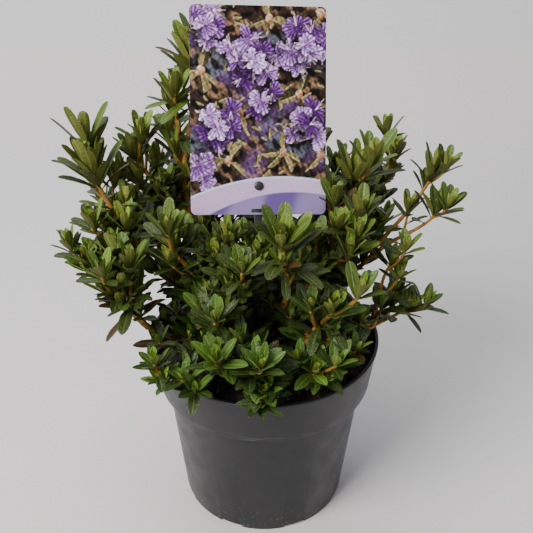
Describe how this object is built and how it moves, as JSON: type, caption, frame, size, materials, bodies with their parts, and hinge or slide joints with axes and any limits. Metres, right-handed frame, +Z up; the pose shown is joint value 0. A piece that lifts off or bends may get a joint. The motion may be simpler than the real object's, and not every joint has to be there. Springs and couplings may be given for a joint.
{
  "type": "potted rhododendron",
  "caption": "Bushy small-leaved evergreen shrub on a short forked trunk, in a round tapering nursery pot filled with compost, with a label card on a stick.",
  "frame": {"origin": "middle of the pot's flat underside, on the surface that the pot stands on", "axes": "+Z up through the pot and the trunk; -Y towards the side that the label card faces; +X to the right when looking at that side"},
  "size_m": [0.3168, 0.2603, 0.4203],
  "materials": {
    "pot": "satin dark grey moulded plastic",
    "soil": "moist dark peat compost with bark chips and pale grains",
    "label_card": "glossy printed plastic sheet",
    "label_stick": "black plastic",
    "bark": "scurfy brown bark, orange-brown on the younger wood",
    "foliage": "small leathery leaves, yellow-green when young and dark green with a soft sheen later"
  },
  "bodies": {
    "root": {"pot": "pot", "soil": "soil", "label_card": "label_card", "label_stick": "label_stick", "trunk": "bark", "bough_left_arch": "bark", "bough_right_low": "bark", "bough_back_low": "bark", "bough_front_low": "bark", "bough_left": "bark", "bough_right_inner": "bark", "bough_back_left": "bark", "bough_back_right": "bark", "bough_front": "bark", "bough_right_reach": "bark", "bough_tall_left": "bark", "bough_upright": "bark", "bough_right_top": "bark", "bough_back_mid": "bark", "bough_centre_left": "bark", "bough_right_front": "bark", "bough_trailing": "bark", "foliage_left_high": "foliage", "foliage_left_side": "foliage", "foliage_left_low": "foliage", "foliage_left_arch": "foliage", "foliage_tall_top": "foliage", "foliage_tall_mid": "foliage", "foliage_left_back": "foliage", "foliage_centre_left": "foliage", "foliage_mid_left": "foliage", "foliage_mid_front": "foliage", "foliage_front_inner": "foliage", "foliage_front_left": "foliage", "foliage_front_mid": "foliage", "foliage_front_low": "foliage", "foliage_trailing": "foliage", "foliage_upright": "foliage", "foliage_centre_right": "foliage", "foliage_right_inner": "foliage", "foliage_front_right": "foliage", "foliage_right_soil": "foliage", "foliage_right_low": "foliage", "foliage_right_mid": "foliage", "foliage_right_front": "foliage", "foliage_right_tall": "foliage", "foliage_right_reach": "foliage", "foliage_right_high": "foliage", "foliage_right_top": "foliage", "foliage_right_rear": "foliage", "foliage_back_mid": "foliage", "foliage_mid_centre": "foliage", "foliage_behind_card": "foliage", "foliage_back_left": "foliage", "foliage_back_low_left": "foliage", "foliage_left_rear": "foliage", "foliage_back_right": "foliage", "foliage_back_low_right": "foliage", "foliage_back_low": "foliage", "foliage_left_top": "foliage"}
  },
  "joints": []
}
